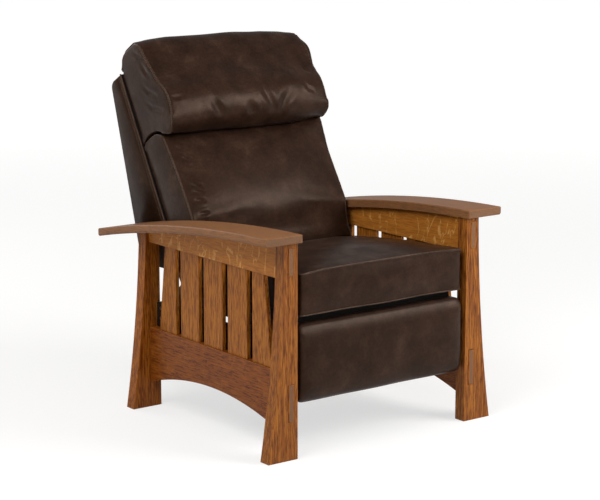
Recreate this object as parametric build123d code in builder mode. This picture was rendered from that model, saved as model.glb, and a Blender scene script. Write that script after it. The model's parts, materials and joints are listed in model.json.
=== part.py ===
from build123d import *
import os
from math import asin, cos, degrees, radians, sin, sqrt

# A mission reclining armchair, in millimetres: an oak frame with arched arms, slatted sides
# and flared legs, leather cushions, and a steel legrest linkage between side plates.
# X is the width, Y the depth with the front at the lowest Y, and Z the height above the floor.

# Overall spacing of the oak frame
leg_span = 711.0
leg_clear_half = 297.0
wood_gap = 0.2
soft_gap = 0.3
overrun = 5.0

# Legs: thickness along the depth, widths at the head and at the floor, hollow of the flare
leg_thick = 38.0
leg_top_width = 44.0
leg_foot_width = 97.0
leg_flare_bow = 10.5

# Arms: boards bent to one long curve, highest just ahead of the front legs
arm_thick = 23.0
arm_width = 122.0
arm_inner_overhang = 6.0
arm_front_overhang = 14.5
arm_rear_overhang = 112.5
arm_radius = 4120.0
arm_crest_height = 593.5
arm_crest_ahead = 65.0
arm_lower_round = 7.0
arm_upper_ease = 2.5
arm_end_ease = 2.0

# Side rails and their tenons
rail_thick = 24.0
rail_inset = 11.0
top_rail_drop = 100.5
bottom_rail_high = 241.0
arch_spring_height = 75.0
arch_crest_height = 126.0
tenon_thick = 17.4
tenon_proud = 2.2
tenon_arris = 1.2
top_tenon_shoulder = 12.0
rear_top_tenon_shoulder = 5.0
bottom_tenon_shoulder = 31.0

# Slats, housed in both rails; the end ones widen towards the floor
slat_thick = 12.0
slat_gap = 25.0
end_slat_clear = 42.5
slat_housing = 10.0
end_slat_top_width = 55.0
end_slat_bottom_width = 87.0

# Cleats on the bottom rails between the legs, and the two crossbars from cleat to cleat
cleat_thick = 17.6
cleat_height = 131.0
cleat_top = 312.0
cleat_screw_drop = 30.0
cleat_screw_end = 70.0
cleat_screw_count = 4
cleat_screw_length = 36.0
crossbar_thick = 24.0
crossbar_height = 60.0
front_crossbar_behind = 208.0
rear_crossbar_behind = 61.0

# Screws and their heads
screw_radius = 3.0
screw_length = 60.0
short_screw_length = 26.0
screw_head_radius = 5.5
screw_head_height = 2.2
screw_edge = 15.0
head_sides = 8

# Seat platform: two cross boards and two side boards, with webbing across them
platform_setback = 50.5
platform_rear_setback = 225.5
platform_side_gap = 21.0
seat_board_width = 50.0
seat_board_thick = 31.8
webbing_thick = 1.2
seat_strap_width = 44.0
seat_strap_margin = 53.0
seat_strap_count = 6
strap_end_margin = 14.0

# Steel side plates, and the small angles that hold them to the crossbars and the seat
mechanism_inset = 49.0
plate_thick = 4.0
plate_height = 42.6
plate_front_setback = 9.0
crank_lobe_radius = 14.0
hinge_lobe_radius = 18.0
hinge_lobe_spread = 42.0
hinge_lobe_foot_drop = 40.0
angle_thick = 3.0
angle_leg = 20.0
angle_flange = 22.0
angle_width = 22.0
seat_angle_margin = 35.0

# Legrest linkage: steps from pivot to pivot at rest, as depth and height
crank_pivot_behind = 107.0
crank_pivot_rise = 5.8
crank_step = (62.0, -128.0)
carrier_step = (-157.0, 106.0)
stabiliser_step = (-3.0, 34.0)
control_share = 0.2007
link_thick = 4.0
link_half = 8.5
link_stand_off = 3.6
link_layer_gap = 0.6
pin_radius = 4.0
running_gap = 0.05
open_pivot_gap = 0.3
rivet_head_radius = 7.0
rivet_head_height = 2.5
tube_radius = 8.0
tube_wall = 1.5
tube_place_share = 0.3

# Legrest: an upholstered board on two steel brackets
footrest_side_gap = 8.0
footrest_top_rise = 12.2
footrest_height = 220.0
footrest_thick = 46.0
footrest_crown = 5.0
footrest_round = 12.0
footrest_draw_in = 2.0
footrest_board_thick = 14.5
footrest_board_edge = 18.0
footrest_board_side = 34.0
footrest_running_gap = 5.5
flange_reach = 28.4
flange_low_drop = 26.0
flange_high_rise = 15.0

# Seat cushion, boxed and crowned, lower at the rear
seat_side_gap = 10.5
seat_front_setback = 3.5
seat_boxing_bulge = 5.0
seat_front_thick = 117.5
seat_front_lift = 8.0
seat_rear_thick = 82.0
seat_rear_lift = 5.0
seat_rear_overhang = 7.0
seat_rear_low_inset = 10.0
seat_end_crown = 3.0
seat_crown = 20.0
seat_draw_in = 4.0
seat_corner = 12.0

# Reclining back: hinge place, lean at rest, and the wedge-shaped frame
hinge_ahead = 120.5
hinge_rise = 25.2
hinge_pin_radius = 6.0
hinge_head_radius = 10.0
back_foot_step = (25.0, 85.0)
back_lean = 29.5
back_side_gap = 12.0
back_rise = 566.0
back_head_depth = 63.2
back_foot_depth = 192.6
back_underside_rise = 30.0
back_top_round = 25.0
cover_thick = 3.0
back_panel_thick = 4.0
back_board_thick = 19.0
back_rail_thick = 24.0
back_rail_width = 50.0
back_rear_rail_up = 62.0
back_strap_width = 50.0
back_strap_first_up = 70.0
back_strap_pitch = 92.0
back_strap_count = 5
bracket_pivot_round = 16.0
bracket_round = 14.0
bracket_knee = (30.0, -35.0)
bracket_end = (130.0, -40.0)

# Lower back cushion: width, draw-in, steps up the back from its foot, and depths forward of it
cushion_side_gap = 14.0
cushion_draw_in = 4.0
cushion_corner = 10.0
cushion_foot_up = -57.0
cushion_foot_depth = 104.0
cushion_waist_rise = 62.0
cushion_waist_depth = 112.0
cushion_belly_rise = 48.0
cushion_belly_depth = 132.0
cushion_middle_rise = 133.0
cushion_middle_depth = 125.5
cushion_head_rise = 134.0
cushion_head_depth = 114.5
cushion_top_rise = 24.5
cushion_top_depth = 60.0
cushion_rear_rise = 9.0
cushion_crown = 25.0
cushion_foot_share = 0.17
cushion_waist_share = 0.25
cushion_belly_share = 0.75
cushion_head_share = 0.33

# Head pillow: width, draw-in, steps up the back from its lip and down behind its top, and depths
pillow_side_gap = 13.0
pillow_draw_in = 4.0
pillow_corner = 22.0
pillow_lift = 2.5
pillow_lip_drop = 10.0
pillow_lip_depth = 150.0
pillow_chin_rise = 16.0
pillow_chin_depth = 178.0
pillow_low_rise = 40.0
pillow_low_depth = 194.0
pillow_belly_rise = 40.0
pillow_belly_depth = 197.0
pillow_middle_rise = 53.0
pillow_middle_depth = 173.5
pillow_high_rise = 66.0
pillow_high_depth = 150.5
pillow_brow_rise = 67.0
pillow_brow_depth = 136.0
pillow_top_rise = 28.0
pillow_top_depth = 100.0
pillow_nape_drop = 12.0
pillow_nape_depth = 40.0
pillow_rear_turn_drop = 20.0
pillow_rear_turn_depth = 17.0
pillow_rear_drop = 32.0
pillow_crown = 18.0
pillow_lip_share = 0.2
pillow_chin_share = 0.33
pillow_low_share = 0.5
pillow_belly_share = 0.8
pillow_brow_rise_share = 0.5
pillow_brow_share = 0.67
pillow_top_rise_share = 0.67
pillow_top_share = 0.5
pillow_nape_rise_share = 0.11
pillow_top_swell = 26.0

# Places across a cushion where its section is drawn, and how quickly its crown fades
station_shares = (-1.0, -0.85, -0.6, -0.25, 0.25, 0.6, 0.85, 1.0)
crown_power = 4

# Derived places in the oak frame; depths here and below are from the middle between the legs
half_span = leg_span / 2
half_bay = half_span - leg_thick
rail_mid = leg_clear_half + rail_inset + rail_thick / 2
rail_inner = rail_mid - rail_thick / 2
arm_front = half_span + arm_front_overhang
arm_rear = half_span + arm_rear_overhang
arm_inner = leg_clear_half - arm_inner_overhang
top_rail_low = arm_crest_height - top_rail_drop
slat_width = (2 * (half_bay - end_slat_clear - end_slat_bottom_width) - 4 * slat_gap) / 3
slat_pitch = slat_width + slat_gap
cleat_screw_pitch = 2 * (half_bay - cleat_screw_end) / (cleat_screw_count - 1)
cleat_outer = rail_inner - wood_gap
cleat_inner = cleat_outer - cleat_thick
cleat_low = cleat_top - cleat_height
crossbar_low = cleat_top - crossbar_height

# Derived places in the platform and the side plates
platform_front = platform_setback - half_span
platform_rear = half_span - platform_rear_setback
seat_strap_reach = platform_rear - platform_front - 2 * seat_strap_margin - seat_strap_width
seat_strap_pitch = seat_strap_reach / (seat_strap_count - 1)
platform_half = leg_clear_half - platform_side_gap
plate_inner = leg_clear_half - mechanism_inset
plate_outer = plate_inner + plate_thick
plate_low = cleat_top + wood_gap
plate_top = plate_low + plate_height
hinge = (half_span - hinge_ahead, plate_top + hinge_rise)
crossbar_depths = (platform_front + front_crossbar_behind, hinge[0] + rear_crossbar_behind)
plate_front = platform_front + plate_front_setback
plate_rear = crossbar_depths[1] + crossbar_thick / 2
seat_board_low = plate_top + wood_gap
seat_board_high = seat_board_low + seat_board_thick
outer_link = plate_inner - link_stand_off - link_thick
inner_link = outer_link - link_layer_gap - link_thick

# Derived places in the back
lean = radians(back_lean)
back_foot = (hinge[0] + back_foot_step[0], hinge[1] + back_foot_step[1])
back_low = hinge[1] + back_underside_rise
back_half = leg_clear_half - back_side_gap
back_taper = (back_foot_depth - back_head_depth) / back_rise
back_board_outer = back_half - cover_thick - soft_gap
back_board_inner = back_board_outer - back_board_thick
back_rail_half = back_board_inner - wood_gap
back_inset = cover_thick + back_panel_thick + 2 * wood_gap
cushion_seat = webbing_thick + 2 * soft_gap
cushion_waist_up = cushion_foot_up + cushion_waist_rise
cushion_belly_up = cushion_waist_up + cushion_belly_rise
cushion_middle_up = cushion_belly_up + cushion_middle_rise
cushion_head_up = cushion_middle_up + cushion_head_rise
cushion_top_up = cushion_head_up + cushion_top_rise
cushion_rear_up = cushion_head_up + cushion_rear_rise
pillow_lip_up = cushion_head_up - pillow_lip_drop
pillow_chin_up = pillow_lip_up + pillow_chin_rise
pillow_low_up = pillow_chin_up + pillow_low_rise
pillow_belly_up = pillow_low_up + pillow_belly_rise
pillow_middle_up = pillow_belly_up + pillow_middle_rise
pillow_high_up = pillow_middle_up + pillow_high_rise
pillow_brow_up = pillow_high_up + pillow_brow_rise
pillow_top_up = pillow_brow_up + pillow_top_rise
pillow_nape_up = pillow_top_up - pillow_nape_drop
pillow_rear_turn_up = pillow_nape_up - pillow_rear_turn_drop
pillow_rear_up = pillow_rear_turn_up - pillow_rear_drop


def back_point(up, forward):
    """Depth and height of a place given up the back's front face and forward of it."""
    return (
        back_foot[0] + up * sin(lean) - forward * cos(lean),
        back_foot[1] + up * cos(lean) + forward * sin(lean),
    )


def rear_forward(up):
    """Place of the back frame's rear face, forward of its front one, at a height up it."""
    return back_taper * up - back_foot_depth


# The origin lies under the middle of the whole chair, from the arm tips to the back's top edge
round_up = back_rise - back_top_round
round_forward = rear_forward(round_up) + back_top_round * sqrt(1 + back_taper**2)
back_reach = back_point(round_up, round_forward)[0] + back_top_round
mid_y = (arm_front - back_reach) / 2


def side_plane(x):
    """A plane square to the width at x, drawn in depth from the legs' middle and height."""
    return Plane(origin=(x, mid_y, 0), x_dir=(0, 1, 0), z_dir=(1, 0, 0))


def front_plane(y):
    """A plane square to the depth, y from the legs' middle, drawn in width and height."""
    return Plane(origin=(0, mid_y + y, 0), x_dir=(1, 0, 0), z_dir=(0, -1, 0))


def floor_plane(z):
    """A level plane, drawn in width and in depth from the legs' middle."""
    return Plane(origin=(0, mid_y, z), x_dir=(1, 0, 0), z_dir=(0, 0, 1))


def back_side_plane(x):
    """A plane square to the width, drawn up the back's front face and forward of it."""
    return Plane(
        origin=(x, mid_y + back_foot[0], back_foot[1]),
        x_dir=(0, sin(lean), cos(lean)),
        z_dir=(1, 0, 0),
    )


def back_front_plane(forward):
    """A plane along the back's front face, drawn in width and up the back."""
    depth, height = back_point(0, forward)
    return Plane(
        origin=(0, mid_y + depth, height),
        x_dir=(1, 0, 0),
        z_dir=(0, -cos(lean), sin(lean)),
    )


def arm_under(y):
    """Height of the arm's underside at a depth from the legs' middle."""
    ahead = y + half_span + arm_crest_ahead
    return arm_crest_height - arm_radius + sqrt(arm_radius**2 - ahead**2)


def stepped(place, step, share=1.0):
    """A place moved by a share of a step, both as depth and height."""
    return (place[0] + share * step[0], place[1] + share * step[1])


pieces = {}


def keep(name, part):
    """Label a finished piece and hold it for export."""
    part.label = name
    pieces[name] = part


def mirrored(part):
    """The left-hand twin of a right-hand piece."""
    with BuildPart() as twin:
        mirror(part, about=Plane.YZ)
    return twin.part


def both_sides(part):
    """A right-hand piece and its twin as one group of separate solids."""
    with BuildPart() as group:
        add(part)
        mirror(part, about=Plane.YZ)
    return group.part


def keep_pair(name, part):
    """Keep a right-hand piece and its twin as two pieces."""
    keep(name + "_right", part)
    keep(name + "_left", mirrored(part))


def board(width, depth, height):
    """A board between pairs of limits in width, in depth and in height."""
    with BuildPart() as body:
        with BuildSketch(floor_plane(height[0])):
            with Locations(((width[0] + width[1]) / 2, (depth[0] + depth[1]) / 2)):
                Rectangle(width[1] - width[0], depth[1] - depth[0])
        extrude(amount=height[1] - height[0])
    return body.part


def rods(plane, places, radius, length):
    """Round rods that start on a plane, square to it."""
    with BuildPart() as group:
        with BuildSketch(plane):
            with Locations(*places):
                Circle(radius)
        extrude(amount=length)
    return group.part


def flat_sided_rods(plane, places, radius, length):
    """Rods as wide as round ones, with a few flat sides."""
    with BuildPart() as group:
        with BuildSketch(plane):
            with Locations(*places):
                RegularPolygon(radius, head_sides)
        extrude(amount=length)
    return group.part


def screws(plane, places, facing, length):
    """Screws whose heads stand on a plane, on the facing side, with shanks behind it."""
    with BuildPart() as group:
        add(flat_sided_rods(plane, places, screw_radius, -facing * length))
        add(flat_sided_rods(plane, places, screw_head_radius, facing * screw_head_height))
    return group.part


def screw_holes(plane, places, facing, length):
    """The holes for those screws' shanks."""
    return flat_sided_rods(plane, places, screw_radius + wood_gap, -facing * length)


def rounded_hull(plane, rounds):
    """Sketch the outline stretched round several circles, each a place and a radius."""
    with BuildSketch(plane) as outline:
        for place, radius in rounds:
            with Locations(place):
                Circle(radius)
        make_hull()
    return outline.sketch


def above_arm_line():
    """Sketch everything above the arms' underside, less the fitting gap."""
    reach = arm_rear + overrun
    top = arm_crest_height + arm_thick + overrun
    with BuildSketch(side_plane(0)) as region:
        with BuildLine():
            curve = ThreePointArc(*[(y, arm_under(y) - wood_gap) for y in (-reach, 0, reach)])
            Polyline(curve @ 1, (reach, top), (-reach, top), curve @ 0)
        make_face()
    return region.sketch


# Tenon places: lowest and highest point of each
front_top_tenon = (top_rail_low + top_tenon_shoulder, arm_under(-half_bay) - top_tenon_shoulder)
rear_top_tenon = (
    top_rail_low + rear_top_tenon_shoulder,
    arm_under(half_span) - rear_top_tenon_shoulder,
)
bottom_tenon = (
    arch_spring_height + bottom_tenon_shoulder,
    bottom_rail_high - bottom_tenon_shoulder,
)


def tenon_section(plane, low_high, grow):
    """A tenon's section, or with a grow its mortise."""
    low, high = low_high
    with BuildSketch(plane) as section:
        with Locations((rail_mid, (low + high) / 2)):
            Rectangle(tenon_thick + 2 * grow, high - low + 2 * grow)
    return section.sketch


# Screws of the inner frame: through the cleats into the bottom rails, and through the cleats
# into the crossbars, two high at each end
cleat_screw_height = bottom_rail_high - cleat_screw_drop
cleat_screw_places = [
    ((place - (cleat_screw_count - 1) / 2) * cleat_screw_pitch, cleat_screw_height)
    for place in range(cleat_screw_count)
]
crossbar_screw_heights = (crossbar_low + screw_edge, cleat_top - screw_edge)
crossbar_screw_places = [(y, z) for y in crossbar_depths for z in crossbar_screw_heights]
cleat_screws = (side_plane(cleat_inner), cleat_screw_places, -1, cleat_screw_length)
crossbar_screws = (side_plane(cleat_outer), crossbar_screw_places, 1, screw_length)


def leg(outer_face, tenons):
    """A flared leg whose outer face is at a depth, mortised for its side's tenons."""
    inwards = -1 if outer_face < 0 else 1
    top_edge = leg_clear_half + leg_top_width
    foot_edge = leg_clear_half + leg_foot_width
    with BuildPart() as body:
        with BuildSketch(front_plane(outer_face)):
            with BuildLine():
                flare = ThreePointArc(
                    (foot_edge, 0),
                    ((foot_edge + top_edge) / 2 - leg_flare_bow, arm_crest_height / 2),
                    (top_edge, arm_crest_height),
                )
                Polyline(
                    flare @ 1,
                    (leg_clear_half, arm_crest_height),
                    (leg_clear_half, 0),
                    flare @ 0,
                )
            make_face()
        extrude(amount=inwards * leg_thick)
        for tenon in tenons:
            mortise = tenon_section(front_plane(outer_face), tenon, wood_gap)
            extrude(mortise, amount=inwards * leg_thick, mode=Mode.SUBTRACT)
        extrude(above_arm_line(), amount=foot_edge + overrun, both=True, mode=Mode.SUBTRACT)
    return body.part


def slat_outline(index, grow):
    """One slat's outline with its housed ends; grow widens it to the housing."""
    low = bottom_rail_high - slat_housing - grow
    high = top_rail_low + slat_housing + grow
    side = 1 if index > 0 else -1
    if abs(index) < 2:
        middle = index * slat_pitch
        half = slat_width / 2 + grow
        return [
            (middle - half, low),
            (middle + half, low),
            (middle + half, high),
            (middle - half, high),
        ]
    near = 2 * slat_pitch - slat_width / 2
    slope = (end_slat_bottom_width - end_slat_top_width) / (top_rail_low - bottom_rail_high)
    far_low = near + end_slat_bottom_width + slope * (bottom_rail_high - low)
    far_high = near + end_slat_top_width - slope * (high - top_rail_low)
    return [
        (side * (near - grow), low),
        (side * (far_low + grow), low),
        (side * (far_high + grow), high),
        (side * (near - grow), high),
    ]


slat_indexes = (-2, -1, 0, 1, 2)


def slat(index, grow=0.0):
    """One side slat about the middle of the rails' thickness."""
    with BuildPart() as body:
        with BuildSketch(side_plane(rail_mid)):
            with BuildLine():
                Polyline(*slat_outline(index, grow), close=True)
            make_face()
        extrude(amount=slat_thick / 2 + grow, both=True)
    return body.part


def tenoned_rail(blank, front_tenon, rear_tenon):
    """A side rail: its blank with a through tenon at each end and its slats' housings."""
    with BuildPart() as rail:
        add(blank)
        for side, tenon in ((-1, front_tenon), (1, rear_tenon)):
            root = front_plane(side * (half_bay - overrun))
            length = leg_thick + tenon_proud + overrun
            extrude(tenon_section(root, tenon, 0), amount=-side * length)
        chamfer(rail.faces().sort_by(Axis.Y)[0].edges(), length=tenon_arris)
        chamfer(rail.faces().sort_by(Axis.Y)[-1].edges(), length=tenon_arris)
        for index in slat_indexes:
            add(slat(index, wood_gap), mode=Mode.SUBTRACT)
    return rail.part


# Legs
keep_pair("front_leg", leg(-half_span, [front_top_tenon, bottom_tenon]))
keep_pair("rear_leg", leg(half_span, [rear_top_tenon, bottom_tenon]))

# Top side rail: straight below, and following the arm above
bay = half_bay - wood_gap
with BuildPart() as top_rail_blank:
    with BuildSketch(side_plane(rail_inner)):
        with BuildLine():
            crown = ThreePointArc(*[(y, arm_under(y) - wood_gap) for y in (-bay, 0, bay)])
            Polyline(crown @ 1, (bay, top_rail_low), (-bay, top_rail_low), crown @ 0)
        make_face()
    extrude(amount=rail_thick)
keep_pair("top_rail", tenoned_rail(top_rail_blank.part, front_top_tenon, rear_top_tenon))

# Bottom side rail: straight above and arched below
with BuildPart() as bottom_rail_blank:
    with BuildSketch(side_plane(rail_inner)):
        with BuildLine():
            arch = ThreePointArc(
                (-bay, arch_spring_height), (0, arch_crest_height), (bay, arch_spring_height)
            )
            Polyline(arch @ 1, (bay, bottom_rail_high), (-bay, bottom_rail_high), arch @ 0)
        make_face()
    extrude(amount=rail_thick)
    add(screw_holes(*cleat_screws), mode=Mode.SUBTRACT)
keep_pair("bottom_rail", tenoned_rail(bottom_rail_blank.part, bottom_tenon, bottom_tenon))

# Slats, counted from the front
for number, index in enumerate(slat_indexes, start=1):
    keep_pair(f"slat_{number}", slat(index))

# Arms: one section turned about the far centre of their curve, cut off upright, then eased
arm_centre = (-half_span - arm_crest_ahead, arm_crest_height - arm_radius)
arm_middle_x = arm_inner + arm_width / 2
with BuildPart() as arm:
    with BuildSketch(front_plane(arm_centre[0])) as arm_section:
        with Locations((arm_middle_x, arm_crest_height + arm_thick / 2)):
            Rectangle(arm_width, arm_thick)
        chamfer(arm_section.vertices().group_by(Axis.Y)[-1], length=arm_upper_ease)
        lower_outer = arm_section.vertices().group_by(Axis.Y)[0].sort_by(Axis.X)[-1]
        fillet(lower_outer, radius=arm_lower_round)
    turning_line = Axis((0, mid_y + arm_centre[0], arm_centre[1]), (-1, 0, 0))
    turn = degrees(asin((arm_rear + overrun - arm_centre[0]) / arm_radius))
    revolve(axis=turning_line, revolution_arc=turn)
    with BuildSketch(side_plane(arm_inner)):
        with Locations(((arm_rear - arm_front) / 2, arm_crest_height)):
            Rectangle(arm_rear + arm_front, arm_crest_height)
    extrude(amount=arm_width, mode=Mode.INTERSECT)
    end_faces = arm.faces().sort_by(Axis.Y)
    chamfer([*end_faces[0].edges(), *end_faces[-1].edges()], length=arm_end_ease)
keep_pair("arm", arm.part)

# Cleats along the bottom rails, carrying the crossbars
with BuildPart() as cleat:
    add(board((cleat_inner, cleat_outer), (-bay, bay), (cleat_low, cleat_top)))
    add(screw_holes(*cleat_screws), mode=Mode.SUBTRACT)
    add(screw_holes(*crossbar_screws), mode=Mode.SUBTRACT)
keep("cleats", both_sides(cleat.part))

# Angles under the plates' feet and under the seat, and the screws in their flanges
angle_screw_x = plate_outer + angle_flange - angle_thick * 2
seat_angle_depths = (
    platform_front + seat_angle_margin,
    (platform_front + platform_rear) / 2,
    platform_rear - seat_angle_margin,
)
foot_screws = (
    floor_plane(plate_low + angle_thick),
    [(angle_screw_x, y) for y in crossbar_depths],
    1,
    short_screw_length,
)
seat_screws = (
    floor_plane(plate_top - angle_thick),
    [(angle_screw_x, y) for y in seat_angle_depths],
    -1,
    short_screw_length,
)

# Crossbars, standing on edge between the cleats
with BuildPart() as crossbars:
    reach = cleat_inner - wood_gap
    for y in crossbar_depths:
        edges = (y - crossbar_thick / 2, y + crossbar_thick / 2)
        add(board((-reach, reach), edges, (crossbar_low, cleat_top)))
    for holes in (screw_holes(*crossbar_screws), screw_holes(*foot_screws)):
        add(holes, mode=Mode.SUBTRACT)
        add(mirrored(holes), mode=Mode.SUBTRACT)
keep("crossbars", crossbars.part)

# Seat platform boards, black where they show
with BuildPart() as seat_cross_boards:
    for edge in (platform_front, platform_rear - seat_board_width):
        limits = (edge, edge + seat_board_width)
        add(board((-platform_half, platform_half), limits, (seat_board_low, seat_board_high)))
    holes = screw_holes(*seat_screws)
    add(holes, mode=Mode.SUBTRACT)
    add(mirrored(holes), mode=Mode.SUBTRACT)
keep("seat_cross_boards", seat_cross_boards.part)
with BuildPart() as seat_side_board:
    widths = (platform_half - seat_board_width, platform_half)
    limits = (
        platform_front + seat_board_width + wood_gap,
        platform_rear - seat_board_width - wood_gap,
    )
    add(board(widths, limits, (seat_board_low, seat_board_high)))
    add(screw_holes(*seat_screws), mode=Mode.SUBTRACT)
keep("seat_side_boards", both_sides(seat_side_board.part))

# Seat webbing, in straps across the side boards
with BuildPart() as seat_webbing:
    with BuildSketch(floor_plane(seat_board_high)):
        with Locations((0, (platform_front + platform_rear) / 2)):
            with GridLocations(seat_strap_pitch, seat_strap_pitch, 1, seat_strap_count):
                Rectangle(2 * (platform_half - strap_end_margin), seat_strap_width)
    extrude(amount=webbing_thick)
keep("seat_webbing", seat_webbing.part)

# Link pivots at rest
crank_pivot = (platform_front + crank_pivot_behind, plate_low + crank_pivot_rise)
crank_end = stepped(crank_pivot, crank_step)
footrest_pivot = stepped(crank_end, carrier_step)
control_pivot = stepped(crank_pivot, carrier_step, control_share)
control_end = stepped(crank_end, carrier_step, control_share)
stabiliser_root = stepped(crank_end, stabiliser_step)
stabiliser_end = stepped(footrest_pivot, stabiliser_step)
running_bore = pin_radius + running_gap

# Steel side plates: a long strip with a lobe at the crank pivot and one at the back's hinge
with BuildPart() as side_plate:
    extrude(
        rounded_hull(
            side_plane(plate_inner),
            [
                (hinge, hinge_lobe_radius),
                ((hinge[0] - hinge_lobe_spread, hinge[1] - hinge_lobe_foot_drop), crank_lobe_radius),
                ((hinge[0] + hinge_lobe_spread, hinge[1] - hinge_lobe_foot_drop), crank_lobe_radius),
            ],
        ),
        amount=plate_thick,
    )
    with BuildSketch(side_plane(plate_inner)):
        with Locations(((plate_front + plate_rear) / 2, (plate_low + plate_top) / 2)):
            Rectangle(plate_rear - plate_front, plate_top - plate_low)
        with Locations(crank_pivot):
            Circle(crank_lobe_radius)
    extrude(amount=plate_thick)
    bores = rods(side_plane(plate_inner), [crank_pivot, control_pivot], running_bore, plate_thick)
    add(bores, mode=Mode.SUBTRACT)
    hinge_bore = rods(
        side_plane(plate_inner), [hinge], hinge_pin_radius + running_gap, plate_thick
    )
    add(hinge_bore, mode=Mode.SUBTRACT)
keep_pair("side_plate", side_plate.part)


def angle(y, flange_height, facing):
    """A steel angle on a plate's outer face, its flange up (1) or down (-1) at a height."""
    depths = (y - angle_width / 2, y + angle_width / 2)
    flange = sorted((flange_height, flange_height - facing * angle_thick))
    upright = sorted((flange_height, flange_height - facing * angle_leg))
    with BuildPart() as body:
        add(board((plate_outer, plate_outer + angle_flange), depths, flange))
        add(board((plate_outer, plate_outer + angle_thick), depths, upright))
    return body.part


with BuildPart() as plate_angles:
    for y in crossbar_depths:
        add(angle(y, plate_low, -1))
    for y in seat_angle_depths:
        add(angle(y, plate_top, 1))
    add(screw_holes(*foot_screws), mode=Mode.SUBTRACT)
    add(screw_holes(*seat_screws), mode=Mode.SUBTRACT)
keep("plate_angles", both_sides(plate_angles.part))

with BuildPart() as frame_screws:
    for group in (cleat_screws, crossbar_screws, foot_screws, seat_screws):
        add(screws(*group))
keep("frame_screws", both_sides(frame_screws.part))


def shouldered_pin(place, radius, head_radius, inner_face, far_face):
    """A pin riveted through the side plate, with a collar and a head each side of its link."""
    inner_head = (inner_face - wood_gap - rivet_head_height, rivet_head_height)
    collar = (far_face + wood_gap, plate_inner - far_face - wood_gap)
    outer_head = (plate_outer, rivet_head_height)
    with BuildPart() as pin:
        length = plate_outer + rivet_head_height - inner_head[0]
        add(rods(side_plane(inner_head[0]), [place], radius, length))
        for face, height in (inner_head, collar, outer_head):
            add(flat_sided_rods(side_plane(face), [place], head_radius, height))
    return pin.part


with BuildPart() as side_plate_pins:
    for pivot in (crank_pivot, control_pivot):
        link_faces = (outer_link, outer_link + link_thick)
        add(shouldered_pin(pivot, pin_radius, rivet_head_radius, *link_faces))
    bracket_outer = back_board_inner + plate_thick
    pin_start = plate_inner - rivet_head_height
    pin_length = bracket_outer + wood_gap + rivet_head_height - pin_start
    add(rods(side_plane(pin_start), [hinge], hinge_pin_radius, pin_length))
    for face, height in (
        (pin_start, rivet_head_height),
        (plate_outer, back_board_inner - wood_gap - plate_outer),
        (bracket_outer + wood_gap, rivet_head_height),
    ):
        add(flat_sided_rods(side_plane(face), [hinge], hinge_head_radius, height))
keep("side_plate_pins", both_sides(side_plate_pins.part))


def link(face, rounds, bores):
    """A flat steel link from its inner face, with rounded ends and a bore at each pivot."""
    with BuildPart() as body:
        extrude(
            rounded_hull(side_plane(face), [(place, link_half) for place in rounds]),
            amount=link_thick,
        )
        for place, radius in bores:
            add(rods(side_plane(face), [place], radius, link_thick), mode=Mode.SUBTRACT)
    return body.part


def rivets(places):
    """Rivets through both layers of links, headed inside and outside."""
    outer_face = outer_link + link_thick
    start = inner_link - rivet_head_height
    with BuildPart() as group:
        length = outer_face + rivet_head_height - start
        add(rods(side_plane(start), places, pin_radius, length))
        for face in (start, outer_face):
            add(flat_sided_rods(side_plane(face), places, rivet_head_radius, rivet_head_height))
    return group.part


open_bore = pin_radius + open_pivot_gap

# Rear links, joined across the chair by a round tube
rear_link_pivots = (crank_pivot, crank_end, stabiliser_root)
rear_link_bores = [(place, running_bore) for place in rear_link_pivots]
keep_pair("rear_link", link(outer_link, rear_link_pivots, rear_link_bores))
keep("rear_link_rivets", both_sides(rivets([crank_end, stabiliser_root])))
tube_place = stepped(crank_pivot, crank_step, tube_place_share)
with BuildPart() as cross_tube:
    with BuildSketch(side_plane(0)):
        with Locations(tube_place):
            Circle(tube_radius)
            Circle(tube_radius - tube_wall, mode=Mode.SUBTRACT)
    extrude(amount=outer_link, both=True)
keep("cross_tube", cross_tube.part)

# Control links, front links and stabilisers
control_bores = [(control_pivot, running_bore), (control_end, running_bore)]
keep_pair("control_link", link(outer_link, (control_pivot, control_end), control_bores))
keep("control_rivets", both_sides(rivets([control_end])))
front_link_bores = [
    (crank_end, running_bore),
    (footrest_pivot, running_bore),
    (control_end, open_bore),
]
keep_pair("front_link", link(inner_link, (crank_end, footrest_pivot), front_link_bores))
keep("front_link_rivets", both_sides(rivets([footrest_pivot])))
stabiliser_bores = [(stabiliser_root, running_bore), (stabiliser_end, open_bore)]
keep_pair("stabiliser", link(inner_link, (stabiliser_root, stabiliser_end), stabiliser_bores))

# Legrest brackets: a plate on the two pivots, bent into a flange behind the legrest board
board_rear = platform_front - footrest_running_gap
flange_front = board_rear + wood_gap
flange_rear = flange_front + plate_thick
flange_low = footrest_pivot[1] - flange_low_drop
flange_high = stabiliser_end[1] + flange_high_rise
flange_round = plate_thick / 2
flange_screw_x = outer_link + link_thick - flange_reach / 2 - pin_radius
flange_screws = (
    front_plane(flange_rear),
    [
        (flange_screw_x, flange_low + screw_edge),
        (flange_screw_x, flange_high - screw_edge),
    ],
    -1,
    footrest_board_thick,
)
with BuildPart() as footrest_bracket:
    extrude(
        rounded_hull(
            side_plane(outer_link),
            [
                (footrest_pivot, link_half),
                (stabiliser_end, link_half),
                ((flange_front + flange_round, flange_low + flange_round), flange_round),
                ((flange_front + flange_round, flange_high - flange_round), flange_round),
            ],
        ),
        amount=link_thick,
    )
    flange_inner = outer_link + link_thick - flange_reach
    add(
        board(
            (flange_inner, outer_link + link_thick),
            (flange_front, flange_rear),
            (flange_low, flange_high),
        )
    )
    bores = rods(
        side_plane(outer_link), [footrest_pivot, stabiliser_end], running_bore, link_thick
    )
    add(bores, mode=Mode.SUBTRACT)
    add(screw_holes(*flange_screws), mode=Mode.SUBTRACT)
keep_pair("footrest_bracket", footrest_bracket.part)
with BuildPart() as footrest_fasteners:
    add(rivets([stabiliser_end]))
    add(screws(*flange_screws))
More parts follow.
